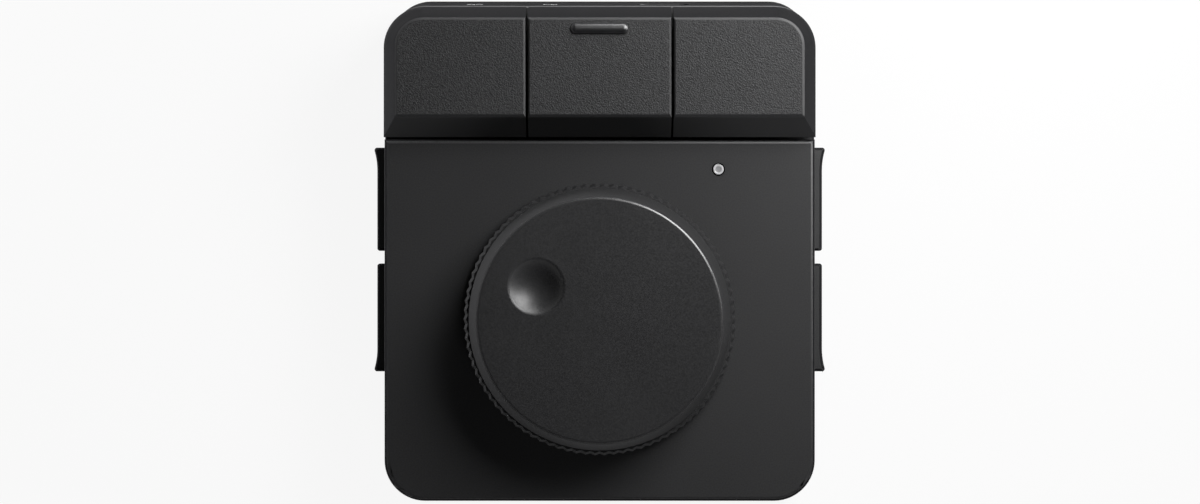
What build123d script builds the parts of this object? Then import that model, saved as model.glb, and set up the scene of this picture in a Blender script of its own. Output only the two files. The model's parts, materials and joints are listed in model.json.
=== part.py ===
from build123d import *

import os
from math import atan, cos, degrees, pi, radians, sin, sqrt, tan

# Macro controller: three keys behind a dial, two buttons on each side, a slide switch and a USB-C socket.
# Millimetres. +X is right, +Y is the rear, +Z is up. The origin lies on the desk, under the case's middle.

# Case
body_width = 74.0
body_length = 87.4
corner_radius = 7.0
wall = 2.0
rear_slope = 8.2  # degrees from upright, with the foot of the wall further back
key_bay_length = 25.25
deck_thickness = 2.0
deck_edge = 0.5
rim_edge = 0.3
bay_wall = 1.5
key_floor = 1.5
foot_gap = 1.0
cover_floor = 2.0
cover_rim = 1.5
cover_chamfer = 1.0
tongue_height = 2.4
tongue_thickness = 1.2
tongue_gap = 0.15
hook_x = 22.0
hook_width = 8.0
hook_reach = 0.8
hook_height = 1.0
hook_gap = 0.2

# Stack from the cover up to the deck
tape_thickness = 0.3
battery_thickness = 4.2
under_board_gap = 1.4
board_thickness = 1.6
encoder_height = 6.5

# Keys
key_gap = 0.35
key_height = 5.5
key_shoulder = 1.0
key_skirt_depth = 0.2
key_run = 2.3
key_front_run = 3.35
key_wall = 1.4
key_roof = 1.6
key_edge = 0.3
key_travel = 1.5
key_stop_gap = 0.3
bar_length = 9.7
bar_width = 1.7
bar_height = 0.5
bar_inset = 0.85
bar_taper = 20.0
lip_thickness = 1.0
lip_side_gap = 0.4
lip_top_gap = 0.4

# Key switches
key_switch_size = 12.0
key_switch_height = 5.6
key_switch_inset = 2.2
key_switch_base = 1.4
key_switch_chamfer = 1.2
key_switch_fit = 0.2
plunger_width = 7.2
plunger_depth = 5.2
plunger_fit = 0.08
plunger_float = 0.3
stem_span = 4.0
stem_thickness = 1.2
stem_height = 3.0
stem_fit = 0.05
stem_seat_gap = 0.4
boss_size = 6.0

# Dial and encoder
dial_margin = 8.0
dial_shift = 0.225
dial_lean = 2.4
dial_height = 11.0
dial_deck_gap = 0.8
dial_edge = 0.4
dial_wall = 1.8
dial_roof = 2.6
knurl_count = 90
knurl_depth = 0.3
knurl_height = 1.0
knurl_slope_height = 1.2
knurl_slope_run = 0.5
knurl_step = 0.15
dimple_radius = 4.7
dimple_depth = 1.9
dimple_margin = 4.15
dimple_angle = 151.7
dial_travel = 0.5
dial_stop_gap = 0.3
hub_radius = 5.0
shaft_radius = 3.0
shaft_flat = 1.5
shaft_fit = 0.04
shaft_end_gap = 0.2
bush_radius = 3.5
bush_height = 6.0
bush_fit = 0.1
nut_across_flats = 10.0
nut_thickness = 2.0
encoder_size = 12.0
encoder_base = 0.7
encoder_edge = 0.7
push_pin_radius = 2.0
push_pin_length = 1.3
push_pin_fit = 0.05
push_pin_float = 0.3

# Side buttons
side_button_front_inset = 22.1
side_button_rear_inset = 1.25
side_button_gap = 2.2
side_button_bias = 0.4
side_button_height = 5.6
side_button_stand = 1.55
side_button_flare = 2.2
side_button_flare_length = 4.0
side_button_round = 0.45
side_button_edge = 0.35
side_button_fit = 0.15
side_button_travel = 0.6
flange_thickness = 1.2
flange_reach = 0.7
flange_gap = 0.05
push_rib_length = 2.2
push_rib_width = 3.0
push_rib_height = 2.0
side_switch_height = 3.0
side_switch_width = 6.0
side_switch_depth = 3.5
side_plunger_width = 2.4
side_plunger_height = 1.4
side_plunger_out = 1.0
side_plunger_in = 0.6
side_plunger_fit = 0.1
side_plunger_float = 0.3

# Status light
light_side_inset = 16.6
light_rear_inset = 5.15
light_radius = 0.9
light_hole_radius = 1.15
light_sink = 0.1
light_flange_size = 4.0
light_flange_thickness = 0.8
led_length = 2.0
led_width = 1.25
led_height = 0.8
led_gap = 0.3

# Rear wall: USB-C socket and slide switch
usb_x = 11.0
usb_width = 8.94
usb_height = 3.16
usb_skin = 0.3
usb_length = 6.0
usb_sink = 0.5
usb_fit = 0.2
usb_tongue_width = 6.7
usb_tongue_thickness = 0.7
usb_tongue_length = 4.5
usb_block = 1.2
power_x = -14.3
power_travel = 2.0
power_body_width = 8.0
power_body_depth = 3.6
power_body_height = 3.4
power_body_gap = 0.2
power_knob_width = 2.7
power_knob_height = 1.8
power_knob_sink = 0.1
power_knob_groove = 0.25
power_fit = 0.1
power_foot_width = 2.0
power_foot_height = 1.2
power_foot_depth = 1.3

# Board, battery and other inner pieces
board_margin = 1.0
board_nose = 16.0
board_corner = 2.0
battery_width = 34.0
battery_length = 44.0
battery_corner = 1.2
battery_offset = 2.4
battery_fit = 0.3
battery_rib = 1.2
battery_rib_height = 2.0
tape_margin = 3.0
connector_gap = 4.75
connector_width = 4.5
connector_length = 6.0
connector_height = 3.0
lead_radius = 0.7
chip_size = 7.0
chip_height = 0.9
chip_x = -14.0
chip_y = 16.0
radio_x = 11.5
radio_width = 13.0
radio_length = 8.4
radio_height = 2.0

# Screws, posts and feet
post_size = 5.2
post_root = 0.5
post_gap = 0.2
boss_rise = 2.0
screw_radius = 0.95
screw_fit = 0.05
screw_hole_gap = 0.2
screw_head_radius = 1.9
screw_head_height = 1.2
screw_head_gap = 0.2
screw_recess_span = 2.2
screw_recess_width = 0.5
screw_recess_depth = 0.6
case_screw_length = 9.0
board_rest_size = 3.0
board_rest_x = 22.0
board_rest_nose = 3.4
board_rest_tail = 1.2
foot_radius = 5.0
foot_side_inset = 9.0
foot_front_inset = 16.0
foot_rear_inset = 9.0

# Heights that follow from the stack
seam = foot_gap + cover_floor + cover_rim
floor_top = foot_gap + cover_floor
battery_bottom = floor_top + tape_thickness
board_bottom = battery_bottom + battery_thickness + under_board_gap
board_top = board_bottom + board_thickness
ceiling = board_top + encoder_height
deck_top = ceiling + deck_thickness
key_top = deck_top + key_height
shoulder = deck_top + key_shoulder
skirt_low = deck_top - key_skirt_depth
rim = skirt_low - key_travel - key_stop_gap
bay_ceiling = rim - key_floor
post_foot = floor_top + boss_rise
hook_low = seam + tongue_height - hook_height

# Places in plan that follow from the case
front_y = -body_length / 2
rear_y = body_length / 2
inner_x = body_width / 2 - wall
deck_rear = rear_y - key_bay_length
dial_y = (front_y + deck_rear) / 2 + dial_shift
battery_y = dial_y + battery_offset
key_front = deck_rear + key_gap
key_width = (body_width - 2 * key_gap) / 3
key_pitch = key_width + key_gap
key_taper = degrees(atan(key_run / (key_top - shoulder)))
key_splits = [(side * key_pitch / 2, key_front) for side in (-1, 1)]
mitre = 2 - sqrt(2)  # what a straight-cut corner loses when its outline is drawn in by one
slope_tan = tan(radians(rear_slope))
slope_cos = cos(radians(rear_slope))
beyond = body_length + body_width  # long enough to cut past the case
side_cut = 4 * wall  # centred on a side face, passes through its wall

STAND = (Align.CENTER, Align.CENTER, Align.MIN)
HANG = (Align.CENTER, Align.CENTER, Align.MAX)
dial_axis = Axis((0, dial_y, 0), (0, 0, 1))
dial_section = Plane.XZ.offset(-dial_y)


def rear_at(height):
    """Y of the rear wall's outer face at a height."""
    return rear_y - (height - foot_gap - cover_chamfer) * slope_tan


def inner_rear_at(height):
    """Y of the rear wall's inner face at a height."""
    return rear_at(height) - wall / slope_cos


def rear_plane(x, y, height):
    """Upright plane that faces the front, for sketches cut or built from the rear towards the front."""
    return Plane(origin=(x, y, height), x_dir=(1, 0, 0), z_dir=(0, -1, 0))


def finish(piece, name):
    """Label a piece and write it under its name."""
    piece.part.label = name
    export_step(piece.part, f"parts/{name}.step")


def case_form(inset, low, high):
    """The case's outer form between two heights, drawn in by an inset on every side."""
    lean = inset / slope_cos
    with BuildPart() as form:
        with BuildSketch(Plane.YZ.offset(inset - body_width / 2)):
            Polygon(
                (front_y + inset, low),
                (rear_at(low) - lean, low),
                (rear_at(high) - lean, high),
                (front_y + inset, high),
            )
        extrude(amount=body_width - 2 * inset)
        uprights = form.edges().filter_by(lambda edge: abs(edge.tangent_at(0).Z) > slope_cos / 2)
        fillet(uprights, corner_radius - inset)
    return form.part


# Plan of the three keys together
key_rear = rear_at(shoulder)
with BuildSketch() as key_outline:
    with Locations((0, key_front)):
        Rectangle(body_width, key_rear - key_front, align=(Align.CENTER, Align.MIN))
    fillet(key_outline.vertices().group_by(Axis.Y)[-1], corner_radius)
key_plan = key_outline.sketch


def hollow_plan(inset):
    """The keys' plan drawn in by an inset, with straight-cut rear corners that stay inside the round ones."""
    depth = key_rear - key_front - 2 * inset
    with BuildSketch() as plan:
        with Locations((0, key_front + inset)):
            Rectangle(body_width - 2 * inset, depth, align=(Align.CENTER, Align.MIN))
        chamfer(plan.vertices().group_by(Axis.Y)[-1], corner_radius - key_wall - (inset - key_wall) * mitre)
    return plan.sketch


key_switch_y = key_front + key_wall + key_switch_inset + key_switch_size / 2
key_points = [(side * key_pitch, key_switch_y) for side in (-1, 0, 1)]
post_points = [(x, key_switch_y) for x, _ in key_splits]
board_front = dial_y - board_nose
board_rear = inner_rear_at(board_top) - board_margin / 2
rest_front = [(side * board_rest_x, board_front + board_rest_nose) for side in (-1, 1)]
rest_rear = [(side * board_rest_x, deck_rear + board_rest_tail) for side in (-1, 1)]
hook_points = [(side * hook_x, front_y + wall - hook_reach) for side in (-1, 1)]
light_point = (body_width / 2 - light_side_inset, deck_rear - light_rear_inset)
foot_side = body_width / 2 - foot_side_inset
foot_points = [
    (side * foot_side, y)
    for side in (-1, 1)
    for y in (front_y + foot_front_inset, rear_y - foot_rear_inset)
]

# Side button places: the caps' height, the flange behind the wall and the switch that it meets
side_axis = board_top + side_switch_height / 2
cap_low = side_axis - side_button_height / 2
flange_outer = inner_x - flange_gap
flange_inner = flange_outer - flange_thickness
rib_inner = flange_inner - push_rib_length
side_switch_face = rib_inner - side_plunger_out
front_button_end = front_y + side_button_front_inset
rear_button_end = deck_rear - side_button_rear_inset
button_split = (front_button_end + rear_button_end) / 2 + side_button_bias
side_button_spans = {
    "rear": (button_split + side_button_gap / 2, rear_button_end),
    "front": (button_split - side_button_gap / 2, front_button_end),
}
side_signs = {"left": -1, "right": 1}

# Rear wall places
usb_z = board_top + usb_height / 2
usb_mouth = rear_at(usb_z + usb_height / 2) - usb_sink
power_z = board_top + power_body_height / 2
power_face = inner_rear_at(board_top + power_body_height) - power_body_gap
power_mouth = rear_at(power_z + power_knob_height / 2) - power_knob_sink
power_slot_width = power_knob_width + power_travel + 2 * power_fit
power_on_x = power_x + power_travel / 2
rear_cut = rear_y - inner_rear_at(deck_top)

# Dial radii and heights
dial_radius = dial_y - front_y - dial_margin
dial_top_radius = dial_radius - dial_lean
dimple_reach = dial_top_radius - dimple_margin - dimple_radius
dimple_x = dimple_reach * cos(radians(dimple_angle))
dimple_y = dial_y + dimple_reach * sin(radians(dimple_angle))
dial_bottom = deck_top + dial_deck_gap
dial_top = deck_top + dial_height
dial_ceiling = dial_top - dial_roof
knurl_top = dial_bottom + knurl_height
knurl_slope_top = knurl_top + knurl_slope_height
cone_radius = dial_radius - knurl_slope_run - knurl_depth - knurl_step
bush_top = ceiling + bush_height
hub_low = bush_top + dial_travel + dial_stop_gap
push_pin_low = board_top + encoder_base + push_pin_float + dial_travel
shaft_low = push_pin_low + push_pin_length
shaft_high = dial_ceiling - shaft_end_gap

# Key switch heights
switch_top = board_top + key_switch_height
stem_seat = switch_top + key_travel + stem_seat_gap
plunger_low = board_top + key_switch_base + plunger_float + key_travel

os.makedirs("parts", exist_ok=True)


# Bottom cover: a tray with a tongue inside the housing, two hooks in front and rests under the board
with BuildPart() as bottom_cover:
    add(case_form(0, foot_gap, seam))
    chamfer(bottom_cover.faces().sort_by(Axis.Z)[0].edges(), cover_chamfer)
    add(case_form(wall + tongue_gap, floor_top, seam + tongue_height))
    add(
        case_form(wall + tongue_gap + tongue_thickness, floor_top, seam + 2 * tongue_height),
        mode=Mode.SUBTRACT,
    )
    with Locations(*[(x, y, hook_low) for x, y in hook_points]):
        Box(
            hook_width,
            hook_reach + tongue_gap + tongue_thickness,
            hook_height,
            align=(Align.CENTER, Align.MIN, Align.MIN),
        )
    with BuildSketch(Plane.XY.offset(floor_top)):
        with Locations(*post_points):
            Rectangle(post_size, post_size)
    extrude(amount=boss_rise)
    with BuildSketch(Plane.XY.offset(floor_top)):
        with Locations(*rest_front, *rest_rear):
            Rectangle(board_rest_size, board_rest_size)
    extrude(amount=board_bottom - floor_top)
    with BuildSketch(Plane.XY.offset(floor_top)):
        with Locations((0, battery_y)):
            rib_gap = 2 * battery_fit
            rib_reach = rib_gap + 2 * battery_rib
            Rectangle(battery_width + rib_reach, battery_length + rib_reach)
            Rectangle(battery_width + rib_gap, battery_length + rib_gap, mode=Mode.SUBTRACT)
    extrude(amount=battery_rib_height)
    with Locations(*[Plane((x, y, foot_gap), z_dir=(0, 0, -1)) for x, y in post_points]):
        CounterBoreHole(
            radius=screw_radius + screw_hole_gap,
            counter_bore_radius=screw_head_radius + screw_head_gap,
            counter_bore_depth=screw_head_height + screw_head_gap,
        )
finish(bottom_cover, "bottom_cover")

with BuildPart() as rubber_feet:
    with BuildSketch():
        with Locations(*foot_points):
            Circle(foot_radius)
    extrude(amount=foot_gap)
finish(rubber_feet, "rubber_feet")

with BuildPart() as case_screws:
    with BuildSketch(Plane.XY.offset(foot_gap + screw_head_gap)):
        with Locations(*post_points):
            Circle(screw_head_radius)
    extrude(amount=screw_head_height)
    with BuildSketch(Plane.XY.offset(foot_gap + screw_head_gap + screw_head_height)):
        with Locations(*post_points):
            Circle(screw_radius)
    extrude(amount=case_screw_length)
    with BuildSketch(Plane.XY.offset(foot_gap + screw_head_gap)):
        with Locations(*post_points):
            Rectangle(screw_recess_span, screw_recess_width)
            Rectangle(screw_recess_width, screw_recess_span)
    extrude(amount=screw_recess_depth, mode=Mode.SUBTRACT)
finish(case_screws, "case_screws")


# Housing: deck over the board, a lower floor under the keys, and a lip inside the keys' skirts
with BuildPart() as cavity:
    add(case_form(wall, seam - cover_rim, ceiling))
    with Locations((0, deck_rear - bay_wall, bay_ceiling)):
        Box(beyond, beyond, beyond, align=(Align.CENTER, Align.MIN, Align.MIN), mode=Mode.SUBTRACT)

lip_inset = key_wall + lip_side_gap
lip_top = shoulder - key_travel - lip_top_gap

with BuildPart() as housing:
    add(case_form(0, seam, deck_top))
    with Locations((0, deck_rear, rim)):
        Box(beyond, beyond, beyond, align=(Align.CENTER, Align.MIN, Align.MIN), mode=Mode.SUBTRACT)
    chamfer(housing.faces().sort_by(Axis.Z)[-1].edges(), deck_edge)
    rim_face = housing.faces().filter_by(Axis.Z).sort_by(Axis.Z)[-2]
    chamfer(rim_face.edges().filter_by(lambda edge: edge.center().Y > key_front), rim_edge)
    add(cavity.part, mode=Mode.SUBTRACT)
    with BuildSketch(Plane.XY.offset(rim)):
        add(hollow_plan(lip_inset))
        add(hollow_plan(lip_inset + lip_thickness), mode=Mode.SUBTRACT)
        with Locations(*key_splits):
            Rectangle(key_gap + 2 * lip_inset, beyond, mode=Mode.SUBTRACT)
    extrude(amount=lip_top - rim)
    with BuildSketch(Plane.XY.offset(rim)):
        with Locations(*key_points):
            Rectangle(key_switch_size + 2 * key_switch_fit, key_switch_size + 2 * key_switch_fit)
    extrude(amount=-key_floor, mode=Mode.SUBTRACT)
    with Locations((0, dial_y, deck_top)):
        Hole(bush_radius + bush_fit, depth=deck_thickness)
    with Locations((*light_point, deck_top)):
        Hole(light_hole_radius, depth=deck_thickness)
    with Locations(*[(x, y - hook_gap, hook_low - hook_gap) for x, y in hook_points]):
        Box(
            hook_width + 2 * hook_gap,
            wall,
            hook_height + 2 * hook_gap,
            align=(Align.CENTER, Align.MIN, Align.MIN),
            mode=Mode.SUBTRACT,
        )
    for start, end in side_button_spans.values():
        for sign in side_signs.values():
            with Locations((sign * body_width / 2, (start + end) / 2, side_axis)):
                Box(
                    side_cut,
                    abs(end - start) + 2 * side_button_fit,
                    side_button_height + 2 * side_button_fit,
                    mode=Mode.SUBTRACT,
                )
    with BuildSketch(rear_plane(usb_x, rear_y, usb_z)):
        SlotOverall(usb_width + 2 * usb_fit, usb_height + 2 * usb_fit)
    extrude(amount=rear_cut, mode=Mode.SUBTRACT)
    with BuildSketch(rear_plane(power_x, rear_y, power_z)):
        Rectangle(power_slot_width, power_knob_height + 2 * power_fit)
    extrude(amount=rear_cut, mode=Mode.SUBTRACT)
    with BuildSketch(Plane.XY.offset(post_foot)):
        with Locations(*post_points):
            Rectangle(post_size, post_size)
    extrude(amount=bay_ceiling + post_root - post_foot)
    with BuildSketch(Plane.XY.offset(post_foot)):
        with Locations(*post_points):
            Circle(screw_radius + screw_fit)
    extrude(amount=case_screw_length, mode=Mode.SUBTRACT)
    for points, root in ((rest_front, ceiling), (rest_rear, bay_ceiling)):
        with BuildSketch(Plane.XY.offset(board_top)):
            with Locations(*points):
                Rectangle(board_rest_size, board_rest_size)
        extrude(amount=root + post_root - board_top)
finish(housing, "housing")


# Keys: one block with sloped faces, cut into three caps
def key_block(plan, inset, low, high):
    """Upright skirts up to the shoulder, then sloped faces, the front one with the longest run."""
    front = key_front + inset
    with BuildPart() as block:
        with BuildSketch(Plane.XY.offset(low)):
            add(plan)
        extrude(amount=shoulder - low)
        with BuildSketch(Plane.XY.offset(shoulder)):
            add(plan)
        extrude(amount=high - shoulder, taper=key_taper)
        with BuildSketch(Plane.YZ.offset(-body_width)):
            Polygon((front, shoulder), (front + key_front_run, key_top), (front, key_top))
        extrude(amount=2 * body_width, mode=Mode.SUBTRACT)
    return block.part


def three_keys(block, slot):
    """A key block cut into three by two upright slots, from left to right."""
    with BuildPart() as keys:
        add(block)
        with Locations((-key_pitch / 2, 0, shoulder), (key_pitch / 2, 0, shoulder)):
            Box(slot, 2 * beyond, beyond, mode=Mode.SUBTRACT)
    return keys.solids().sort_by(Axis.X)


key_names = ("left", "middle", "right")
key_outsides = three_keys(key_block(key_plan, 0, skirt_low, key_top), key_gap)
key_insides = three_keys(
    key_block(hollow_plan(key_wall), key_wall, skirt_low - key_skirt_depth, key_top - key_roof),
    key_gap + 2 * key_wall,
)

for name, outside, inside, (key_x, key_y) in zip(key_names, key_outsides, key_insides, key_points):
    with BuildPart() as key:
        add(outside)
        chamfer(key.faces().sort_by(Axis.Z)[-1].edges(), key_edge)
        add(inside, mode=Mode.SUBTRACT)
        with BuildSketch(Plane.XY.offset(stem_seat)):
            with Locations((key_x, key_y)):
                Rectangle(boss_size, boss_size)
        extrude(amount=key_top - key_roof + post_root - stem_seat)
        with BuildSketch(Plane.XY.offset(stem_seat)):
            with Locations((key_x, key_y)):
                Rectangle(stem_span + 2 * stem_fit, stem_thickness + 2 * stem_fit)
                Rectangle(stem_thickness + 2 * stem_fit, stem_span + 2 * stem_fit)
        extrude(amount=stem_height + stem_fit, mode=Mode.SUBTRACT)
        if name == "middle":
            bar_y = key_rear - key_run - bar_inset - bar_width / 2
            with BuildSketch(Plane.XY.offset(key_top)):
                with Locations((0, bar_y)):
                    SlotOverall(bar_length, bar_width)
            extrude(amount=bar_height, taper=bar_taper)
    finish(key, f"key_{name}")

    with BuildPart() as plunger:
        with Locations((key_x, key_y, plunger_low)):
            Box(plunger_width, plunger_depth, stem_seat - plunger_low, align=STAND)
        with BuildSketch(Plane.XY.offset(stem_seat)):
            with Locations((key_x, key_y)):
                Rectangle(stem_span, stem_thickness)
                Rectangle(stem_thickness, stem_span)
        extrude(amount=stem_height)
    finish(plunger, f"key_plunger_{name}")

with BuildPart() as key_switch_bodies:
    with Locations(*[(x, y, board_top) for x, y in key_points]):
        Box(key_switch_size, key_switch_size, key_switch_height, align=STAND)
    chamfer(key_switch_bodies.faces().group_by(Axis.Z)[-1].edges(), key_switch_chamfer)
    with Locations(*[(x, y, board_top + key_switch_base) for x, y in key_points]):
        Box(
            plunger_width + 2 * plunger_fit,
            plunger_depth + 2 * plunger_fit,
            key_switch_height,
            align=STAND,
            mode=Mode.SUBTRACT,
        )
finish(key_switch_bodies, "key_switch_bodies")


# Dial: knurled flange, tapered wall and finger dimple, bored out over the encoder's nut
def knurl_outline(radius):
    """Star-shaped outline of the knurl, tip and root in turn."""
    step = pi / knurl_count
    radii = (radius, radius - knurl_depth)
    return [
        (radii[i % 2] * cos(i * step), radii[i % 2] * sin(i * step)) for i in range(2 * knurl_count)
    ]


def dial_plane(height):
    """Level plane centred on the dial's axis."""
    return Plane((0, dial_y, height))


def d_shape(radius):
    """Round section with one flat side."""
    with BuildSketch() as section:
        Circle(radius)
        with Locations((0, radius - shaft_flat)):
            Rectangle(2 * radius, 2 * radius, align=(Align.CENTER, Align.MIN), mode=Mode.SUBTRACT)
    return section.sketch


with BuildPart() as dial_knob:
    with BuildSketch(dial_plane(dial_bottom)):
        Polygon(*knurl_outline(dial_radius))
    extrude(amount=knurl_height)
    with BuildSketch(dial_plane(knurl_top)):
        Polygon(*knurl_outline(dial_radius))
    with BuildSketch(dial_plane(knurl_slope_top)):
        Polygon(*knurl_outline(dial_radius - knurl_slope_run))
    loft(ruled=True)
    with BuildSketch(dial_section):
        Polygon(
            (0, knurl_top),
            (cone_radius, knurl_top),
            (cone_radius, knurl_slope_top),
            (dial_top_radius, dial_top - dial_edge),
            (dial_top_radius - dial_edge, dial_top),
            (0, dial_top),
        )
    revolve(axis=dial_axis)
    with BuildSketch(dial_section):
        Polygon(
            (0, dial_bottom),
            (dial_top_radius - dial_wall, dial_bottom),
            (dial_top_radius - dial_wall, dial_ceiling),
            (hub_radius, dial_ceiling),
            (hub_radius, hub_low),
            (0, hub_low),
        )
    revolve(axis=dial_axis, mode=Mode.SUBTRACT)
    with BuildSketch(dial_plane(hub_low)):
        add(d_shape(shaft_radius + shaft_fit))
    extrude(amount=dial_ceiling - hub_low, mode=Mode.SUBTRACT)
    dimple_ball = (dimple_radius**2 + dimple_depth**2) / (2 * dimple_depth)
    with Locations((dimple_x, dimple_y, dial_top - dimple_depth + dimple_ball)):
        Sphere(dimple_ball, rotation=(90, 0, 0), mode=Mode.SUBTRACT)
finish(dial_knob, "dial_knob")


with BuildPart() as encoder_shaft:
    with BuildSketch(dial_plane(shaft_low)):
        Circle(shaft_radius)
    extrude(amount=hub_low - shaft_low)
    with BuildSketch(dial_plane(hub_low)):
        add(d_shape(shaft_radius))
    extrude(amount=shaft_high - hub_low)
finish(encoder_shaft, "encoder_shaft")

with BuildPart() as encoder_push_pin:
    with BuildSketch(dial_plane(push_pin_low)):
        Circle(push_pin_radius)
    extrude(amount=push_pin_length)
finish(encoder_push_pin, "encoder_push_pin")

with BuildPart() as encoder_body:
    with Locations((0, dial_y, board_top)):
        Box(encoder_size, encoder_size, encoder_height, align=STAND)
    chamfer(encoder_body.edges().filter_by(Axis.Z), encoder_edge)
    with BuildSketch(dial_plane(ceiling)):
        Circle(bush_radius)
    extrude(amount=bush_height)
    with Locations((0, dial_y, bush_top)):
        CounterBoreHole(
            radius=push_pin_radius + push_pin_fit,
            counter_bore_radius=shaft_radius + shaft_fit,
            counter_bore_depth=bush_top - shaft_low + dial_travel + push_pin_float,
            depth=bush_top - board_top - encoder_base,
        )
finish(encoder_body, "encoder_body")

with BuildPart() as encoder_nut:
    with BuildSketch(dial_plane(deck_top)):
        RegularPolygon(nut_across_flats / 2, 6, major_radius=False)
        Circle(bush_radius + bush_fit / 2, mode=Mode.SUBTRACT)
    extrude(amount=nut_thickness)
finish(encoder_nut, "encoder_nut")


# Side buttons: a flared cap through the wall, a flange behind it and a rib that meets the switch
for place, (plain_end, flare_end) in side_button_spans.items():
    toward_flare = 1 if flare_end > plain_end else -1
    flare_start = flare_end - toward_flare * side_button_flare_length
    middle = (plain_end + flare_end) / 2
    for side, sign in side_signs.items():
        cap_inner = sign * flange_outer
        cap_outer = sign * (body_width / 2 + side_button_stand)
        cap_flare = sign * (body_width / 2 + side_button_flare)
        with BuildPart() as side_button:
            with BuildSketch(Plane.XY.offset(cap_low)) as cap:
                with BuildLine():
                    Line((cap_inner, plain_end), (cap_outer, plain_end))
                    Line((cap_outer, plain_end), (cap_outer, flare_start))
                    TangentArc((cap_outer, flare_start), (cap_flare, flare_end), tangent=(0, toward_flare))
                    Line((cap_flare, flare_end), (cap_inner, flare_end))
                    Line((cap_inner, flare_end), (cap_inner, plain_end))
                make_face()
                tips = cap.vertices().filter_by(lambda point: abs(point.X) > body_width / 2)
                ends = tips.sort_by(Axis.Y)
                fillet([ends[0], ends[-1]], side_button_round)
            extrude(amount=side_button_height)
            level = side_button.faces().filter_by(Axis.Z).edges()
            chamfer(level.filter_by(lambda edge: abs(edge.center().X) > body_width / 2), side_button_edge)
            with Locations((sign * (flange_inner + flange_thickness / 2), middle, cap_low - flange_reach)):
                Box(
                    flange_thickness,
                    abs(flare_end - plain_end) + 2 * flange_reach,
                    side_button_height + flange_reach,
                    align=STAND,
                )
            with Locations((sign * (rib_inner + push_rib_length / 2), middle, side_axis)):
                Box(push_rib_length, push_rib_width, push_rib_height)
        finish(side_button, f"side_button_{side}_{place}")

        with BuildPart() as side_plunger:
            plunger_length = side_plunger_out + side_plunger_in
            with Locations((sign * (rib_inner - plunger_length / 2), middle, side_axis)):
                Box(plunger_length, side_plunger_width, side_plunger_height)
        finish(side_plunger, f"side_plunger_{side}_{place}")

with BuildPart() as side_switch_bodies:
    well_depth = side_plunger_in + side_button_travel + side_plunger_float
    for start, end in side_button_spans.values():
        for sign in side_signs.values():
            with Locations((sign * (side_switch_face - side_switch_depth / 2), (start + end) / 2, side_axis)):
                Box(side_switch_depth, side_switch_width, side_switch_height)
            with Locations((sign * (side_switch_face - well_depth / 2), (start + end) / 2, side_axis)):
                Box(
                    well_depth,
                    side_plunger_width + 2 * side_plunger_fit,
                    side_plunger_height + 2 * side_plunger_fit,
                    mode=Mode.SUBTRACT,
                )
finish(side_switch_bodies, "side_switch_bodies")


# Main board with the parts soldered to it
wide_half = inner_x - board_margin
wide_front = deck_rear + bay_wall
with BuildPart() as main_pcb:
    with BuildSketch(Plane.XY.offset(board_bottom)) as board:
        with Locations((0, board_front)):
            Rectangle(2 * side_switch_face, board_rear - board_front, align=(Align.CENTER, Align.MIN))
        with Locations((0, wide_front)):
            Rectangle(2 * wide_half, board_rear - wide_front, align=(Align.CENTER, Align.MIN))
        fillet(board.vertices().group_by(Axis.Y)[-1], corner_radius - wall)
        fillet(board.vertices().group_by(Axis.Y)[0], board_corner)
        with Locations(*post_points):
            Rectangle(post_size + 2 * post_gap, post_size + 2 * post_gap, mode=Mode.SUBTRACT)
    extrude(amount=board_thickness)
finish(main_pcb, "main_pcb")

with BuildPart() as controller_chip:
    with Locations((chip_x, dial_y + chip_y, board_top)):
        Box(chip_size, chip_size, chip_height, align=STAND)
finish(controller_chip, "controller_chip")

with BuildPart() as radio_module:
    radio_y = board_front + board_margin + radio_length / 2
    with Locations((radio_x, radio_y, board_top)):
        Box(radio_width, radio_length, radio_height, align=STAND)
finish(radio_module, "radio_module")

with BuildPart() as status_led:
    with Locations((*light_point, board_top)):
        Box(led_length, led_width, led_height, align=STAND)
finish(status_led, "status_led")

with BuildPart() as status_light_pipe:
    pipe_low = board_top + led_height + led_gap
    with BuildSketch(Plane.XY.offset(pipe_low)):
        with Locations(light_point):
            Circle(light_radius)
    extrude(amount=deck_top - light_sink - pipe_low)
    with BuildSketch(Plane.XY.offset(ceiling)):
        with Locations(light_point):
            Rectangle(light_flange_size, light_flange_size)
    extrude(amount=-light_flange_thickness)
finish(status_light_pipe, "status_light_pipe")


# USB-C socket on the board's rear edge
with BuildPart() as usb_c_shell:
    with BuildSketch(rear_plane(usb_x, usb_mouth, usb_z)):
        SlotOverall(usb_width, usb_height)
        SlotOverall(usb_width - 2 * usb_skin, usb_height - 2 * usb_skin, mode=Mode.SUBTRACT)
    extrude(amount=usb_length)
finish(usb_c_shell, "usb_c_shell")

with BuildPart() as usb_c_tongue:
    with BuildSketch(rear_plane(usb_x, usb_mouth - usb_length + usb_block, usb_z)):
        SlotOverall(usb_width - 2 * usb_skin, usb_height - 2 * usb_skin)
    extrude(amount=usb_block)
    with BuildSketch(rear_plane(usb_x, usb_mouth - usb_length + usb_block, usb_z)):
        Rectangle(usb_tongue_width, usb_tongue_thickness)
    extrude(amount=usb_block - usb_tongue_length)
finish(usb_c_tongue, "usb_c_tongue")


# Slide switch: body on the board and the ribbed knob that stands in the rear wall's slot
with BuildPart() as power_switch_body:
    with Locations((power_x, power_face - power_body_depth / 2, board_top)):
        Box(power_body_width, power_body_depth, power_body_height, align=STAND)
    with BuildSketch(rear_plane(power_x, power_face, power_z)):
        Rectangle(
            power_foot_width + power_travel + 2 * power_fit,
            power_foot_height + 2 * power_fit,
        )
    extrude(amount=power_foot_depth + power_fit, mode=Mode.SUBTRACT)
finish(power_switch_body, "power_switch_body")

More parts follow.
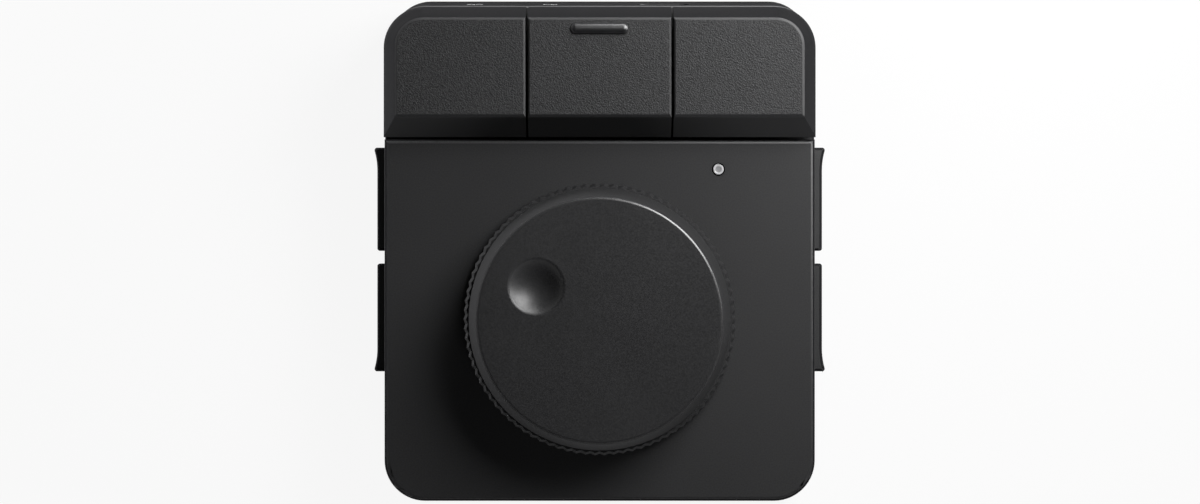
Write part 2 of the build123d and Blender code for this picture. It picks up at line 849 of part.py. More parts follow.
with BuildPart() as power_slider:
    knob_root = power_face + power_body_gap
    with BuildSketch(rear_plane(power_on_x, power_mouth, power_z)):
        Rectangle(power_knob_width, power_knob_height)
    extrude(amount=power_mouth - knob_root)
    with BuildSketch(rear_plane(power_on_x, knob_root, power_z)):
        Rectangle(power_foot_width, power_foot_height)
    extrude(amount=power_body_gap + power_foot_depth)
    with BuildSketch(rear_plane(power_on_x, power_mouth, power_z)):
        with GridLocations(power_knob_width / 4, 0, 3, 1):
            Rectangle(power_knob_groove, power_knob_height)
    extrude(amount=power_knob_groove, mode=Mode.SUBTRACT)
finish(power_slider, "power_slider")


# Battery on the cover's floor, with its lead to the board
with BuildPart() as battery_tape:
    with Locations((0, battery_y, floor_top)):
        Box(battery_width - 2 * tape_margin, battery_length - 2 * tape_margin, tape_thickness, align=STAND)
finish(battery_tape, "battery_tape")

with BuildPart() as battery_cell:
    with Locations((0, battery_y, battery_bottom)):
        Box(battery_width, battery_length, battery_thickness, align=STAND)
    chamfer(battery_cell.edges().filter_by(Axis.Z), battery_corner)
finish(battery_cell, "battery_cell")

connector_face = -battery_width / 2 - connector_gap
with BuildPart() as battery_connector:
    with Locations((connector_face - connector_width / 2, battery_y, board_bottom)):
        Box(connector_width, connector_length, connector_height, align=HANG)
finish(battery_connector, "battery_connector")

with BuildPart() as battery_lead:
    battery_top = battery_bottom + battery_thickness
    connector_bottom = board_bottom - connector_height
    with BuildSketch(Plane.YZ.offset(connector_face)):
        with Locations((battery_y, (battery_top + connector_bottom) / 2)):
            Circle(lead_radius)
    extrude(amount=connector_gap)
finish(battery_lead, "battery_lead")
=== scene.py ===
"""Looks, light and camera for the desk controller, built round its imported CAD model."""
import json
import math

import bmesh
import bpy
from mathutils import Matrix, Vector


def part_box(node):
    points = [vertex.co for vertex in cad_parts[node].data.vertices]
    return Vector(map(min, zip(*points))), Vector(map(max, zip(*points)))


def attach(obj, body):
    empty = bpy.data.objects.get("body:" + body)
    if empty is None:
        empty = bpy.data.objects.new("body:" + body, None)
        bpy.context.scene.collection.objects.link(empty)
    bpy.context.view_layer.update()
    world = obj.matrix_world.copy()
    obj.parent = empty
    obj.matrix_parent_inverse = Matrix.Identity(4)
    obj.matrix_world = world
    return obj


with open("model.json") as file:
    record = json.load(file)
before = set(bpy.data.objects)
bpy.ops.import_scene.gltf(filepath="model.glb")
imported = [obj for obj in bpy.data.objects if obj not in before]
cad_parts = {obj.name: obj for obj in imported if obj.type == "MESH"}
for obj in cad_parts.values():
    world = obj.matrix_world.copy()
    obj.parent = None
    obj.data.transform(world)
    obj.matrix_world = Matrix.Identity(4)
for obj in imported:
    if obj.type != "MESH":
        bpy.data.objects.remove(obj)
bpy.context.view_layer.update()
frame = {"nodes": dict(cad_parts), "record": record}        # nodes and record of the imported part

MM = 0.001
nodes = frame["nodes"]
scene = bpy.context.scene

# Photograph and camera, which looks straight down
PHOTO_WIDTH = 1200
PIXEL_AT_DECK = 0.1717 * MM
CAMERA_ABOVE_DECK = 460 * MM
CAMERA_X = 0.06 * MM
CAMERA_Y = -0.9 * MM
CAMERA_NEAREST = 10 * MM
SENSOR_WIDTH = 36

# Places read from the frame
deck_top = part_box("encoder_nut")[0].z
housing_low, housing_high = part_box("housing")
key_low, key_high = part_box("key_middle")
key_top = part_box("key_left")[1].z
dial_low, dial_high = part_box("dial_knob")
dial_axis = (dial_low + dial_high) / 2
pipe_low, pipe_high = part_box("status_light_pipe")
tongue_low, tongue_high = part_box("usb_c_tongue")
slider_low, slider_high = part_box("power_slider")


# Node helpers

def new_shader(name, color, roughness, **sockets):
    """A material with plain values on its shader's own sockets: the material, its tree and the shader."""
    material = bpy.data.materials.new(name)
    material.use_nodes = True
    shader = material.node_tree.nodes["Principled BSDF"]
    shader.inputs["Base Color"].default_value = (*color, 1)
    shader.inputs["Roughness"].default_value = roughness
    for socket, value in sockets.items():
        shader.inputs[socket.replace("_", " ").title().replace("Ior", "IOR")].default_value = value
    return material, material.node_tree, shader


def add(tree, kind, inputs=None, **settings):
    """A node with these settings: inputs are given by name or number, as values or as sockets to link."""
    node = tree.nodes.new(kind)
    for setting, value in settings.items():
        setattr(node, setting, value)
    for socket, value in (inputs or {}).items():
        if isinstance(value, bpy.types.NodeSocket):
            tree.links.new(value, node.inputs[socket])
        else:
            node.inputs[socket].default_value = value
    return node


def math_node(tree, operation, first, second):
    """The result of one sum on two sockets or numbers."""
    return add(tree, "ShaderNodeMath", {0: first, 1: second}, operation=operation).outputs[0]


def vector_node(tree, operation, inputs):
    """One sum on vectors."""
    return add(tree, "ShaderNodeVectorMath", inputs, operation=operation)


def place(tree):
    """Where a point is on its piece, in metres."""
    return add(tree, "ShaderNodeTexCoord").outputs["Object"]


def noise(tree, size, detail=2.0):
    """Speckle round one half, with spots of this size."""
    settings = {"Vector": place(tree), "Scale": 1 / size, "Detail": detail}
    return add(tree, "ShaderNodeTexNoise", settings).outputs["Fac"]


def ranged(tree, value, low, high, out_low, out_high):
    """A value carried over from one range to another."""
    settings = {"Value": value, "From Min": low, "From Max": high, "To Min": out_low, "To Max": out_high}
    return add(tree, "ShaderNodeMapRange", settings).outputs["Result"]


def ramp(tree, factor, stops):
    """Colours that change along a factor: stops are pairs of place and colour."""
    node = add(tree, "ShaderNodeValToRGB", {"Fac": factor})
    elements = node.color_ramp.elements
    while len(elements) < len(stops):
        elements.new(0.5)
    for element, (position, color) in zip(elements, stops):
        element.position = position
        element.color = (*color, 1)
    return node.outputs["Color"]


def scaled(color, factor):
    """A lighter or darker tone of a colour."""
    return tuple(c * factor for c in color)


# Materials

SPECKLE_LOW = 0.3
SPECKLE_HIGH = 0.7


def grained(name, color, roughness, size, depth, tone=0.2, gloss=0.06, patch=18 * MM, **sockets):
    """Speckle of one size in the height, tone and gloss, with wide faint patches in the gloss."""
    material, tree, shader = new_shader(name, color, roughness, **sockets)
    speckle = noise(tree, size)
    tones = [(SPECKLE_LOW, scaled(color, 1 - tone)), (SPECKLE_HIGH, scaled(color, 1 + tone))]
    tree.links.new(ramp(tree, speckle, tones), shader.inputs["Base Color"])
    fine = ranged(tree, speckle, SPECKLE_LOW, SPECKLE_HIGH, roughness - gloss, roughness + gloss)
    wide = ranged(tree, noise(tree, patch), SPECKLE_LOW, SPECKLE_HIGH, -gloss / 2, gloss / 2)
    tree.links.new(math_node(tree, "ADD", fine, wide), shader.inputs["Roughness"])
    bump = add(tree, "ShaderNodeBump", {"Height": speckle, "Strength": 1.0, "Distance": depth})
    tree.links.new(bump.outputs["Normal"], shader.inputs["Normal"])
    return material


HOUSING_TONE = (0.026, 0.026, 0.027)
# Near-black copy of the housing colour for the deck's edge chamfers: painted shade.
HOUSING_EDGE_PAINTED_SHADE_TONE = (0.005, 0.005, 0.006)
# Light copy of the housing colour for rear-facing roundings on the rim and the deck's rear edge: painted
# highlight.
HOUSING_LIP_PAINTED_HIGHLIGHT_TONE = (0.065, 0.065, 0.067)
# Lighter copy of the housing colour for the walls: painted light on the sides.
HOUSING_WALL_PAINTED_LIGHT_TONE = (0.036, 0.036, 0.037)
# Darker copy of the housing colour for the leaning rear wall: painted shade.
HOUSING_REAR_PAINTED_SHADE_TONE = (0.012, 0.012, 0.013)
KEY_TONE = (0.022, 0.022, 0.023)
# Darker copy of the key colour for the keys' sloping sides: painted shade.
KEY_SIDE_PAINTED_SHADE_TONE = (0.013, 0.013, 0.014)
# Lighter copy of the key colour for the keys' front slopes: painted light.
KEY_FRONT_PAINTED_LIGHT_TONE = (0.036, 0.036, 0.037)
DIAL_TONE = (0.026, 0.026, 0.027)
# Lighter copy of the dial colour for its wall and knurl: painted light.
DIAL_SIDE_PAINTED_LIGHT_TONE = (0.035, 0.035, 0.036)
BUTTON_TONE = (0.036, 0.036, 0.037)
# Near-black copy of the button colour for the buttons' edge roundings: painted shade.
BUTTON_EDGE_PAINTED_SHADE_TONE = (0.007, 0.007, 0.008)
# Near-black copy of the key plastic for the bar on the middle key: painted shade.
BAR_PAINTED_SHADE_TONE = (0.006, 0.006, 0.007)

SLOT_MATERIALS = {
    "housing_plastic": grained(
        "housing_plastic", HOUSING_TONE, 0.58, 0.25 * MM, 0.005 * MM, specular_ior_level=0.3),
    "key_plastic": grained(
        "key_plastic", KEY_TONE, 0.56, 0.22 * MM, 0.1 * MM, tone=0.7, specular_ior_level=0.35),
    "dial_metal": grained("dial_metal", DIAL_TONE, 0.4, 0.22 * MM, 0.004 * MM),
    "button_plastic": grained(
        "button_plastic", BUTTON_TONE, 0.45, 0.2 * MM, 0.002 * MM, specular_ior_level=0.3),
    "foot_rubber": grained("foot_rubber", (0.02, 0.02, 0.02), 0.8, 0.3 * MM, 0.01 * MM),
    "screw_steel": grained("screw_steel", (0.35, 0.35, 0.36), 0.35, 0.2 * MM, 0.002 * MM, metallic=1.0),
    "board_laminate": grained("board_laminate", (0.02, 0.12, 0.06), 0.4, 0.5 * MM, 0.004 * MM),
    "part_black": grained("part_black", (0.02, 0.02, 0.02), 0.5, 0.2 * MM, 0.004 * MM),
    "plunger_white": grained("plunger_white", (0.7, 0.7, 0.68), 0.45, 0.3 * MM, 0.002 * MM, tone=0.04),
    "cast_zinc": grained("cast_zinc", (0.45, 0.45, 0.46), 0.4, 0.2 * MM, 0.004 * MM, metallic=1.0),
    "socket_steel": grained("socket_steel", (0.5, 0.5, 0.51), 0.3, 0.2 * MM, 0.001 * MM, metallic=1.0),
    "cell_foil": grained("cell_foil", (0.6, 0.6, 0.62), 0.35, 0.8 * MM, 0.01 * MM, metallic=1.0),
    "tape_foam": grained("tape_foam", (0.05, 0.05, 0.05), 0.9, 0.2 * MM, 0.02 * MM),
    "lens_clear": grained("lens_clear", (0.4, 0.4, 0.4), 0.3, 0.2 * MM, 0.001 * MM, tone=0.05),
    "wire_red": grained("wire_red", (0.4, 0.03, 0.02), 0.5, 0.3 * MM, 0.002 * MM),
}
# More materials for some faces of a slot, by how a face is turned: the axis that its normal is measured
# along, and from where to where. Limits past 1 leave that end open. A later row goes before an earlier one.
# Rows with a lighter or darker tone than the slot's own are painted light and shade by which way a face
# is turned; rows in the slot's own tone change only its gloss.
FACE_MATERIALS = {
    "housing_plastic": [
        (grained("housing_line", HOUSING_TONE, 0.42, 0.25 * MM, 0.003 * MM, specular_ior_level=0.4),
         "Z", 0.82, 0.985),
        # Chamfers turned partly sideways: painted shade, a near-black copy of the housing plastic.
        (grained("housing_edge_painted_shade", HOUSING_EDGE_PAINTED_SHADE_TONE, 0.6, 0.25 * MM, 0.004 * MM, specular_ior_level=0.06),
         "Z", 0.3, 0.82),
        # Roundings turned towards the rear: painted highlight, a light copy of the housing plastic.
        (grained("housing_lip_painted_highlight", HOUSING_LIP_PAINTED_HIGHLIGHT_TONE, 0.5, 0.25 * MM, 0.003 * MM), "Y", 0.2, 0.8),
        # Walls: painted light, a lighter copy of the housing plastic.
        (grained("housing_wall_painted_light", HOUSING_WALL_PAINTED_LIGHT_TONE, 0.62, 0.25 * MM, 0.005 * MM, specular_ior_level=0.25),
         "Z", -1.1, 0.3),
        # The rear wall: painted shade, a darker copy of the housing plastic.
        (grained("housing_rear_painted_shade", HOUSING_REAR_PAINTED_SHADE_TONE, 0.85, 0.25 * MM, 0.004 * MM, specular_ior_level=0.03),
         "Y", 0.8, 1.1),
    ],
    "key_plastic": [
        (grained("key_line", KEY_TONE, 0.48, 0.2 * MM, 0.004 * MM, specular_ior_level=0.4), "Z", 0.7, 0.985),
        # Steep key faces: painted shade, a darker copy of the key plastic.
        (grained("key_side_painted_shade", KEY_SIDE_PAINTED_SHADE_TONE, 0.62, 0.15 * MM, 0.001 * MM, tone=0.08, specular_ior_level=0.03),
         "Z", -1.1, 0.7),
        # Front-facing key slopes: painted light, a lighter copy of the key plastic.
        (grained("key_front_painted_light", KEY_FRONT_PAINTED_LIGHT_TONE, 0.62, 0.15 * MM, 0.001 * MM, tone=0.08,
                 specular_ior_level=0.06), "Y", -0.9, -0.7),
    ],
    "dial_metal": [
        (grained("dial_line", DIAL_TONE, 0.3, 0.2 * MM, 0.0003 * MM, gloss=0.02, specular_ior_level=0.9),
         "Z", 0.8, 0.985),
        # The dial's wall and knurl: painted light, a lighter copy of the dial metal.
        (grained("dial_side_painted_light", DIAL_SIDE_PAINTED_LIGHT_TONE, 0.55, 0.2 * MM, 0.002 * MM, tone=0.12,
                 specular_ior_level=0.05), "Z", -1.1, 0.8),
    ],
    "button_plastic": [
        # Button edge roundings: painted shade, a near-black copy of the button plastic.
        (grained("button_edge_painted_shade", BUTTON_EDGE_PAINTED_SHADE_TONE, 0.5, 0.2 * MM, 0.002 * MM, specular_ior_level=0.08),
         "Z", 0.2, 0.99),
        (grained("button_wall", BUTTON_TONE, 0.62, 0.2 * MM, 0.003 * MM, specular_ior_level=0.15),
         "Z", -1.1, 0.2),
    ],
}


# Dressing of the CAD nodes

WELD_REACH = 0.0005 * MM
SMOOTH_ANGLE = math.radians(35)
CHAMFER_ANGLES = (math.radians(20), math.radians(60))
# Rounding of the chamfers' edges above a height: slot, its width, its steps and the height
ROUNDED_SLOTS = {
    "key_plastic": (0.08 * MM, 3, key_top - 0.45 * MM),
    "housing_plastic": (0.34 * MM, 4, deck_top - 0.65 * MM),
    "dial_metal": (0.28 * MM, 4, dial_high.z - 0.6 * MM),
    "button_plastic": (0.12 * MM, 2, 0.0),
}
# The dial's further materials keep to its wall and rim: the dish in its top is nearer to the axis
DIAL_RIM_FROM = 19 * MM


def group_of(name):
    """Empty geometry nodes: the group, and the shape that goes in."""
    group = bpy.data.node_groups.new(name, "GeometryNodeTree")
    group.interface.new_socket("Geometry", in_out="INPUT", socket_type="NodeSocketGeometry")
    group.interface.new_socket("Geometry", in_out="OUTPUT", socket_type="NodeSocketGeometry")
    return group, group.nodes.new("NodeGroupInput").outputs[0]


def compare(group, operation, first, second, **more):
    """The truth of one comparison of numbers."""
    settings = {"A": first, "B": second, **more}
    return add(group, "FunctionNodeCompare", settings, operation=operation).outputs["Result"]


def both(group, first, second):
    """True where both are."""
    return add(group, "FunctionNodeBooleanMath", {0: first, 1: second}, operation="AND").outputs[0]


def edge_group(name, height):
    """Geometry nodes that mark the edges of chamfers above a height for rounding."""
    group, shape = group_of(name)
    angle = add(group, "GeometryNodeInputMeshEdgeAngle").outputs["Unsigned Angle"]
    position = add(group, "GeometryNodeInputPosition").outputs[0]
    rise = add(group, "ShaderNodeSeparateXYZ", {0: position}).outputs["Z"]
    least, most = CHAMFER_ANGLES
    chamfer = compare(group, "EQUAL", angle, (least + most) / 2, Epsilon=(most - least) / 2)
    chosen = both(group, chamfer, compare(group, "GREATER_THAN", rise, height))
    store = {"Geometry": shape, "Selection": chosen, "Name": "bevel_weight_edge", "Value": 1.0}
    shape = add(group, "GeometryNodeStoreNamedAttribute", store, data_type="FLOAT", domain="EDGE").outputs[0]
    group.links.new(shape, group.nodes.new("NodeGroupOutput").inputs[0])
    return group


edge_groups = {slot: edge_group(f"{slot}_edges", row[2]) for slot, row in ROUNDED_SLOTS.items()}


def shading_group(name, face_materials=(), least_radius=0.0):
    """Geometry nodes that shade round faces smooth, and choose a face's material by how it is turned, which puts
    the painted light and shade of the lighter and darker rows on their faces.
    """
    group, shape = group_of(name)
    angle = add(group, "GeometryNodeInputMeshEdgeAngle").outputs["Unsigned Angle"]
    round_edge = compare(group, "LESS_THAN", angle, SMOOTH_ANGLE)
    shape = add(group, "GeometryNodeSetShadeSmooth", {"Geometry": shape}, domain="FACE").outputs[0]
    smooth = {"Geometry": shape, "Shade Smooth": round_edge}
    shape = add(group, "GeometryNodeSetShadeSmooth", smooth, domain="EDGE").outputs[0]
    position = add(group, "GeometryNodeInputPosition").outputs[0]
    from_axis = vector_node(group, "SUBTRACT", {0: position, 1: dial_axis}).outputs[0]
    flat = vector_node(group, "MULTIPLY", {0: from_axis, 1: (1, 1, 0)}).outputs[0]
    radius = vector_node(group, "LENGTH", {0: flat}).outputs["Value"]
    outside = compare(group, "GREATER_EQUAL", radius, least_radius)
    normal = add(group, "GeometryNodeInputNormal").outputs["True Normal"]
    turned = add(group, "ShaderNodeSeparateXYZ", {"Vector": normal}).outputs
    for index, (_, axis, low, high) in enumerate(face_materials, start=1):
        between = compare(group, "EQUAL", turned[axis], (low + high) / 2, Epsilon=(high - low) / 2)
        choice = {"Geometry": shape, "Selection": both(group, between, outside), "Material Index": index}
        shape = add(group, "GeometryNodeSetMaterialIndex", choice).outputs[0]
    group.links.new(shape, group.nodes.new("NodeGroupOutput").inputs[0])
    return group


plain_shading = shading_group("plain_shading")
LEAST_RADIUS = {"dial_metal": DIAL_RIM_FROM}
face_shadings = {
    slot: shading_group(f"{slot}_shading", rows, LEAST_RADIUS.get(slot, 0.0))
    for slot, rows in FACE_MATERIALS.items()
}


def dress(obj, slot):
    """Give a piece the slot's material, and shade its round faces smooth."""
    obj.data.materials.clear()
    obj.data.materials.append(SLOT_MATERIALS[slot])
    for material, *_ in FACE_MATERIALS.get(slot, []):
        obj.data.materials.append(material)
    weld = obj.modifiers.new("weld", "WELD")
    weld.merge_threshold = WELD_REACH
    if slot in ROUNDED_SLOTS:
        edges = obj.modifiers.new("edges", "NODES")
        edges.node_group = edge_groups[slot]
        rounding = obj.modifiers.new("rounding", "BEVEL")
        rounding.width, rounding.segments, _ = ROUNDED_SLOTS[slot]
        rounding.limit_method = "WEIGHT"
        rounding.use_clamp_overlap = False
    shading = obj.modifiers.new("shading", "NODES")
    shading.node_group = face_shadings.get(slot, plain_shading)
    normals = obj.modifiers.new("normals", "WEIGHTED_NORMAL")
    normals.keep_sharp = True


for part in frame["record"]["subparts"]:
    dress(nodes[part["node"]], part["material_slot"])


# Added pieces

def add_piece(name, mesh, body, materials, smooth=True):
    """An object for a bmesh, which rides on a body and takes the materials given."""
    data = bpy.data.meshes.new(name)
    bmesh.ops.recalc_face_normals(mesh, faces=mesh.faces)
    mesh.to_mesh(data)
    mesh.free()
    for material in materials:
        data.materials.append(material)
    data.polygons.foreach_set("use_smooth", [smooth] * len(data.polygons))
    obj = bpy.data.objects.new(name, data)
    scene.collection.objects.link(obj)
    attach(obj, body)
    return obj


def bridge(mesh, rings):
    """Faces between closed rings of vertices that have the same count."""
    faces = []
    for lower, upper in zip(rings, rings[1:]):
        for i in range(len(lower)):
            j = (i + 1) % len(lower)
            faces.append(mesh.faces.new((lower[i], lower[j], upper[j], upper[i])))
    return faces


# A half-round bar over the flat one on the middle key, for a finger to find
BAR_HALF_LENGTH = 4.95 * MM
BAR_HALF_WIDTH = 0.95 * MM
BAR_HEIGHT = 0.72 * MM
BAR_ROOT = 0.05 * MM
BAR_REAR_INSET = 3.15 * MM
BAR_STEPS = 8
BAR_END_STEPS = 12
BAR_TOP_SHARE = 0.04


def bar_outline(mesh, center, reach, z):
    """A ring of vertices with straight sides and round ends: reach is half its width."""
    straight = BAR_HALF_LENGTH - BAR_HALF_WIDTH
    ring = []
    for side in (1, -1):
        for i in range(BAR_END_STEPS + 1):
            turn = math.pi * (i / BAR_END_STEPS - 0.5)
            x = side * (straight + reach * math.cos(turn))
            y = side * reach * math.sin(turn)
            ring.append(mesh.verts.new((center.x + x, center.y + y, z)))
    return ring


def make_key_bar():
    """The bar's section is half an ellipse, and so are its ends."""
    center = Vector(((key_low.x + key_high.x) / 2, key_high.y - BAR_REAR_INSET - BAR_HALF_WIDTH, 0))
    mesh = bmesh.new()
    rings = [bar_outline(mesh, center, BAR_HALF_WIDTH, key_top - BAR_ROOT)]
    for i in range(BAR_STEPS + 1):
        turn = math.pi / 2 * i / BAR_STEPS
        reach = BAR_HALF_WIDTH * max(math.cos(turn), BAR_TOP_SHARE)
        rings.append(bar_outline(mesh, center, reach, key_top + BAR_HEIGHT * math.sin(turn)))
    bridge(mesh, rings)
    mesh.faces.new(rings[0])
    mesh.faces.new(rings[-1])
    add_piece("key_bar", mesh, "key_middle_body", [bar_plastic_painted_shade])


# The bar is key plastic, darkened to near black as painted shade.
bar_plastic_painted_shade = grained("bar_plastic_painted_shade", BAR_PAINTED_SHADE_TONE, 0.38, 0.2 * MM, 0.002 * MM, specular_ior_level=1.0)
make_key_bar()

# The face of the status light: a raised rim round a dished centre, the rim in a light tone that is a painted
# highlight, and a near-black ring over the gap round it that is painted shadow of the gap, as pairs of radius and
# rise over the pipe in millimetres
LENS_PROFILE = [
    (0.25, 0.02), (0.55, 0.03), (0.62, 0.07), (0.7, 0.1), (0.8, 0.1), (0.87, 0.07), (0.89, 0.0),
    (1.13, -0.01),
]
LENS_RIM_FROM = 1
LENS_GAP_SHADOW_FROM = 6
LENS_ROOT = 0.05
LENS_STEPS = 48
LENS_CENTRE_TONE = (0.26, 0.26, 0.265)
# Light tone on the lens's raised rim: painted highlight.
LENS_RIM_PAINTED_HIGHLIGHT_TONE = (0.6, 0.6, 0.61)
# Near-black ring laid over the gap round the lens: painted shadow of the gap.
LENS_GAP_PAINTED_SHADOW_TONE = (0.004, 0.004, 0.004)


def make_status_lens():
    """A disc turned about the light pipe's axis."""
    x = (pipe_low.x + pipe_high.x) / 2
    y = (pipe_low.y + pipe_high.y) / 2
    mesh = bmesh.new()
    rings = []
    for radius, rise in LENS_PROFILE + [(LENS_PROFILE[-1][0], -LENS_ROOT)]:
        turns = [2 * math.pi * i / LENS_STEPS for i in range(LENS_STEPS)]
        z = pipe_high.z + rise * MM
        reach = radius * MM
        rings.append([mesh.verts.new((x + reach * math.cos(t), y + reach * math.sin(t), z)) for t in turns])
    mesh.faces.new(rings[0])
    mesh.faces.new(rings[-1])
    faces = bridge(mesh, rings)
    # From the rim on, the faces take the light tone: painted highlight on the raised rim.
    for face in faces[LENS_RIM_FROM * LENS_STEPS:]:
        face.material_index = 1
    # The outer ring over the gap takes the near-black tone: painted shadow.
    for face in faces[LENS_GAP_SHADOW_FROM * LENS_STEPS:]:
        face.material_index = 2
    add_piece("status_lens", mesh, "base", [lens_centre, lens_rim_painted_highlight, lens_gap_painted_shadow])


lens_centre = grained("lens_centre", LENS_CENTRE_TONE, 0.5, 0.15 * MM, 0.002 * MM, tone=0.06)
lens_rim_painted_highlight = grained("lens_rim_painted_highlight", LENS_RIM_PAINTED_HIGHLIGHT_TONE, 0.25, 0.15 * MM, 0.001 * MM, tone=0.04)
lens_gap_painted_shadow = grained("lens_gap_painted_shadow", LENS_GAP_PAINTED_SHADOW_TONE, 0.7, 0.15 * MM, 0.001 * MM, specular_ior_level=0.05)
make_status_lens()

# Contacts on both faces of the socket's tongue
CONTACT_COUNT = 12
CONTACT_PITCH = 0.5 * MM
CONTACT_WIDTH = 0.27 * MM
CONTACT_FROM_TIP = 0.35 * MM
CONTACT_LENGTH = 2.2 * MM
CONTACT_RISE = 0.025 * MM
CONTACT_BEVEL = 0.02 * MM
TONGUE_HALF_THICKNESS = 0.35 * MM


def make_contacts():
    """Rows of thin gilt bars, each with its edges broken."""
    x_middle = (tongue_low.x + tongue_high.x) / 2
    z_middle = (tongue_low.z + tongue_high.z) / 2
    y_middle = tongue_high.y - CONTACT_FROM_TIP - CONTACT_LENGTH / 2
    mesh = bmesh.new()
    for side in (1, -1):
        for i in range(CONTACT_COUNT):
            x = x_middle + (i - (CONTACT_COUNT - 1) / 2) * CONTACT_PITCH
            size = Matrix.Diagonal((CONTACT_WIDTH, CONTACT_LENGTH, 2 * CONTACT_RISE, 1))
            spot = Matrix.Translation((x, y_middle, z_middle + side * TONGUE_HALF_THICKNESS))
            bmesh.ops.create_cube(mesh, size=1, matrix=spot @ size)
    bmesh.ops.bevel(mesh, geom=mesh.edges[:], offset=CONTACT_BEVEL, segments=1, affect="EDGES")
    add_piece("usb_c_contacts", mesh, "base", [contact_gilt], smooth=False)


contact_gilt = grained(
    "contact_gilt", (0.75, 0.52, 0.2), 0.3, 0.15 * MM, 0.001 * MM, tone=0.08, metallic=1.0)
make_contacts()

# Printed marks beside the slide switch, upright as read from behind
MARK_SIZE = 1.62 * MM
MARK_HALF_THICKNESS = 0.01 * MM
WALL_LEAN = math.radians(8.2)
MARK_PLACES = {"ON": -8.6 * MM, "OFF": -21.7 * MM}


def rear_wall(x, z):
    """A frame on the leaning rear wall: its X runs to the right as seen from behind, its Y up the wall."""
    y = housing_high.y - (z - housing_low.z) * math.tan(WALL_LEAN)
    across = Vector((-1, 0, 0))
    outward = Vector((0, math.cos(WALL_LEAN), math.sin(WALL_LEAN)))
    up = outward.cross(across)
    frame_axes = Matrix((across, up, outward)).transposed().to_4x4()
    return Matrix.Translation((x, y, z)) @ frame_axes


def make_mark(word, x):
    """A generic word of the switch as a thin print on the wall."""
    letters = bpy.data.curves.new(f"letters_{word}", "FONT")
    letters.body = word
    letters.size = MARK_SIZE
    letters.align_x = "CENTER"
    letters.align_y = "CENTER"
    letters.extrude = MARK_HALF_THICKNESS
    carrier = bpy.data.objects.new(f"letters_{word}", letters)
    scene.collection.objects.link(carrier)
    flat = bpy.data.meshes.new_from_object(carrier.evaluated_get(bpy.context.evaluated_depsgraph_get()))
    bpy.data.objects.remove(carrier)
    mesh = bmesh.new()
    mesh.from_mesh(flat)
    bmesh.ops.remove_doubles(mesh, verts=mesh.verts, dist=MARK_HALF_THICKNESS / 10)
    mesh.transform(rear_wall(x, (slider_low.z + slider_high.z) / 2))
    add_piece(f"mark_{word.lower()}", mesh, "base", [print_white], smooth=False)


print_white = grained("print_white", (0.85, 0.85, 0.85), 0.6, 0.1 * MM, 0.001 * MM, tone=0.06)
for word, mark_x in MARK_PLACES.items():
    make_mark(word, mark_x)


# Floor, world and lamps

# The floor is flat to its first radius, and sweeps up to a rim beyond it
FLOOR_RADIUS = 3.0
RIM_RADIUS = 4.0
RIM_STEPS = 8
FLOOR_SIDES = 64
FLOOR_TONE = (0.8, 0.8, 0.8)
FLOOR_ROUGHNESS = 0.9
WHITE_SHARE = 0.9


def floor_material():
    """Matt white that also shows white to the camera and in reflections, and is clear from below."""
    material, tree, shader = new_shader("floor_white", FLOOR_TONE, FLOOR_ROUGHNESS)
    path = add(tree, "ShaderNodeLightPath").outputs
    seen = math_node(tree, "MAXIMUM", path["Is Camera Ray"], path["Is Glossy Ray"])
    seen = math_node(tree, "MAXIMUM", seen, path["Is Transmission Ray"])
    share = math_node(tree, "MULTIPLY", seen, WHITE_SHARE)
    white = add(tree, "ShaderNodeEmission", {"Color": (1, 1, 1, 1), "Strength": 1.0}).outputs[0]
    above = add(tree, "ShaderNodeMixShader", {0: share, 1: shader.outputs[0], 2: white}).outputs[0]
    below = add(tree, "ShaderNodeBsdfTransparent").outputs[0]
    backfacing = add(tree, "ShaderNodeNewGeometry").outputs["Backfacing"]
    surface = add(tree, "ShaderNodeMixShader", {0: backfacing, 1: above, 2: below}).outputs[0]
    tree.links.new(surface, tree.nodes["Material Output"].inputs["Surface"])
    return material


def make_floor():
    """A disc with a quarter-round rim, seen from inside."""
    mesh = bmesh.new()
    rings = []
    for i in range(RIM_STEPS + 1):
        turn = math.pi / 2 * i / RIM_STEPS
        radius = FLOOR_RADIUS + (RIM_RADIUS - FLOOR_RADIUS) * math.sin(turn)
        height = (RIM_RADIUS - FLOOR_RADIUS) * (1 - math.cos(turn))
        around = [2 * math.pi * j / FLOOR_SIDES for j in range(FLOOR_SIDES)]
        rings.append([mesh.verts.new((radius * math.cos(t), radius * math.sin(t), height)) for t in around])
    mesh.faces.new(rings[0])
    for face in bridge(mesh, rings):
        face.normal_flip()
        face.smooth = True
    data = bpy.data.meshes.new("floor")
    mesh.to_mesh(data)
    mesh.free()
    data.materials.append(floor_material())
    floor = bpy.data.objects.new("floor", data)
    scene.collection.objects.link(floor)


make_floor()


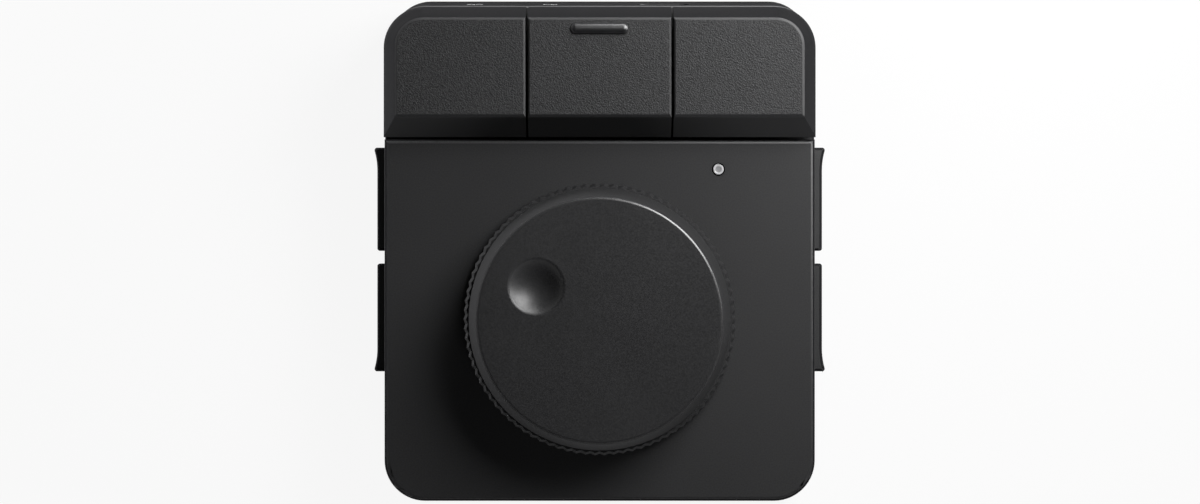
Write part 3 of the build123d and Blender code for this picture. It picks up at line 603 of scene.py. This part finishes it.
def make_world():
    """White behind the object in views from below, where the floor is clear. Only the camera sees it."""
    world = bpy.data.worlds.new("studio")
    world.use_nodes = True
    tree = world.node_tree
    backdrop = tree.nodes["Background"]
    backdrop.inputs["Color"].default_value = (1, 1, 1, 1)
    camera_ray = add(tree, "ShaderNodeLightPath").outputs["Is Camera Ray"]
    tree.links.new(camera_ray, backdrop.inputs["Strength"])
    scene.world = world


make_world()

# Soft boxes, turned to the object: name, turn from +X towards the rear, distance along the floor, height of
# the middle, width, height, level, light. At level 1 a white card that faces the box renders white. A box of
# gloss light shows only in reflections, and one of matt light only on matt surfaces. The strip stays low, so
# that it lights walls and not the top.
BOTH, GLOSS, MATT = "both", "gloss", "matt"
LAMPS = [
    ("key_lamp", 45, 132, 138, 100, 100, 1.1, BOTH),
    ("edge_lamp", 48, 220, 95, 420, 110, 2.1, GLOSS),
    ("left_strip", 152, 250, 15, 220, 26, 1.4, MATT),
    ("front_lamp", 280, 290, 93, 200, 60, 0.45, MATT),
]
LAMP_TARGET = Vector((0, 0, 15)) * MM


def lamp(name, turn, away, rise, width, height, level, light):
    """A soft box in degrees and millimetres, out of the camera's sight."""
    data = bpy.data.lights.new(name, "AREA")
    data.shape = "RECTANGLE"
    data.size = width * MM
    data.size_y = height * MM
    obj = bpy.data.objects.new(name, data)
    turn = math.radians(turn)
    obj.location = Vector((away * math.cos(turn), away * math.sin(turn), rise)) * MM
    inward = LAMP_TARGET - obj.location
    data.energy = level * (math.pi * inward.length) ** 2
    obj.rotation_euler = inward.to_track_quat("-Z", "Y").to_euler()
    obj.visible_camera = False
    obj.visible_diffuse = light != GLOSS
    obj.visible_glossy = light != MATT
    scene.collection.objects.link(obj)


for row in LAMPS:
    lamp(*row)


# Camera

camera_data = bpy.data.cameras.new("camera")
camera_data.sensor_width = SENSOR_WIDTH
camera_data.lens = SENSOR_WIDTH * CAMERA_ABOVE_DECK / (PHOTO_WIDTH * PIXEL_AT_DECK)
camera_data.clip_start = CAMERA_NEAREST
camera = bpy.data.objects.new("camera", camera_data)
camera.location = (CAMERA_X, CAMERA_Y, deck_top + CAMERA_ABOVE_DECK)
scene.collection.objects.link(camera)
scene.camera = camera
scene.view_settings.view_transform = "Standard"
